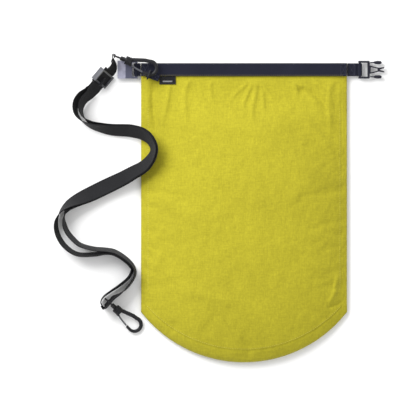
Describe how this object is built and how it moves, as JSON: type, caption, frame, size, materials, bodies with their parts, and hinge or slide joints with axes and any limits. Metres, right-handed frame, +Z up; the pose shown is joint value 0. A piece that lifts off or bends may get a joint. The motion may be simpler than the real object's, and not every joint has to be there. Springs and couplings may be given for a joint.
{
  "type": "roll-top dry bag",
  "caption": "Round-bottomed roll-top dry bag lying flat, with a webbing closure band, a side-release buckle and a clip-on shoulder strap with swivel snap hooks.",
  "frame": {"origin": "on the outside of the back panel, in the middle of the bag's flat outline", "axes": "+X across the bag towards the male buckle, +Y towards the mouth, +Z up, away from the back panel"},
  "size_m": [0.504, 0.4705, 0.0434],
  "materials": {
    "yellow_cloth": "woven, matt",
    "navy_webbing": "ribbed webbing",
    "black_webbing": "ribbed webbing",
    "label_black": "matt",
    "black_plastic": "moulded, satin",
    "grey_plastic": "moulded, satin",
    "stiffener": "plain"
  },
  "bodies": {
    "bag": {"front_panel": "yellow_cloth", "back_panel": "yellow_cloth", "base_panel": "yellow_cloth", "strap_outward_layer": "black_webbing", "strap_return_layer": "black_webbing"},
    "mouth": {"collar": "yellow_cloth", "mouth_stiffener_back": "stiffener", "mouth_stiffener_front": "stiffener", "closure_webbing_back": "navy_webbing", "closure_webbing_front": "navy_webbing", "label": "label_black", "buckle_tab_right": "navy_webbing", "buckle_tab_left": "navy_webbing", "d_ring_tab": "navy_webbing", "top_hook_eye": "black_plastic", "strap_end_loop": "black_webbing", "strap_head": "black_webbing"},
    "male_buckle": {"male_buckle_body": "black_plastic"},
    "male_arm_upper": {"male_buckle_arm_upper": "black_plastic"},
    "male_arm_lower": {"male_buckle_arm_lower": "black_plastic"},
    "female_buckle": {"female_buckle_body": "grey_plastic"},
    "d_ring": {"d_ring": "black_plastic"},
    "top_hook": {"top_hook_body": "black_plastic"},
    "top_gate": {"top_hook_gate": "black_plastic"},
    "slider": {"slider": "grey_plastic", "slider_wrap": "black_webbing"},
    "bottom_eye": {"bottom_hook_eye": "black_plastic"},
    "bottom_hook": {"bottom_hook_body": "black_plastic"},
    "bottom_gate": {"bottom_hook_gate": "black_plastic"}
  },
  "joints": [
    {"name": "roll_top_fold", "type": "hinge", "parent": "bag", "child": "mouth", "pos_m": [0, 0.188, 0.03], "axis": [1, 0, 0], "range_deg": [0, 170]},
    {"name": "male_buckle_hinge", "type": "hinge", "parent": "mouth", "child": "male_buckle", "pos_m": [0.1765, 0.218, 0.0064], "axis": [0, -1, 0], "range_deg": [0, 85]},
    {"name": "male_arm_upper_press", "type": "hinge", "parent": "male_buckle", "child": "male_arm_upper", "pos_m": [0.1921, 0.2286, 0.0064], "axis": [0, 0, -1], "range_deg": [0, 6], "stiffness_Nm_per_rad": 0.5},
    {"name": "male_arm_lower_press", "type": "hinge", "parent": "male_buckle", "child": "male_arm_lower", "pos_m": [0.1921, 0.2074, 0.0064], "axis": [0, 0, 1], "range_deg": [0, 6], "stiffness_Nm_per_rad": 0.5},
    {"name": "female_buckle_hinge", "type": "hinge", "parent": "mouth", "child": "female_buckle", "pos_m": [-0.1642, 0.218, 0.0064], "axis": [0, 1, 0], "range_deg": [0, 8]},
    {"name": "d_ring_swing", "type": "hinge", "parent": "mouth", "child": "d_ring", "pos_m": [-0.14512, 0.21024, 0.016], "axis": [0.342, 0.9397, 0], "range_deg": [-8, 8]},
    {"name": "top_hook_swivel", "type": "hinge", "parent": "mouth", "child": "top_hook", "pos_m": [-0.1758, 0.2312, 0.0228], "axis": [0.9397, -0.342, 0], "range_deg": [-8, 8]},
    {"name": "top_gate_open", "type": "hinge", "parent": "top_hook", "child": "top_gate", "pos_m": [-0.1715, 0.22431, 0.0228], "axis": [0, 0, 1], "range_deg": [0, 14], "stiffness_Nm_per_rad": 0.05},
    {"name": "slider_slide", "type": "slide", "parent": "mouth", "child": "slider", "axis": [-0.6428, -0.766, 0], "range_m": [0, 0.005]},
    {"name": "bottom_eye_swing", "type": "hinge", "parent": "bag", "child": "bottom_eye", "pos_m": [-0.2053, -0.13643, 0.01695], "axis": [0.1528, -0.141, 0.9781], "range_deg": [-20, 4]},
    {"name": "bottom_hook_swivel", "type": "hinge", "parent": "bottom_eye", "child": "bottom_hook", "pos_m": [-0.192, -0.1487, 0.0131], "axis": [0.7189, -0.6633, -0.2079], "continuous": true},
    {"name": "bottom_gate_open", "type": "hinge", "parent": "bottom_hook", "child": "bottom_gate", "pos_m": [-0.19079, -0.15662, 0.01177], "axis": [0.1528, -0.141, 0.9781], "range_deg": [0, 14], "stiffness_Nm_per_rad": 0.05}
  ]
}
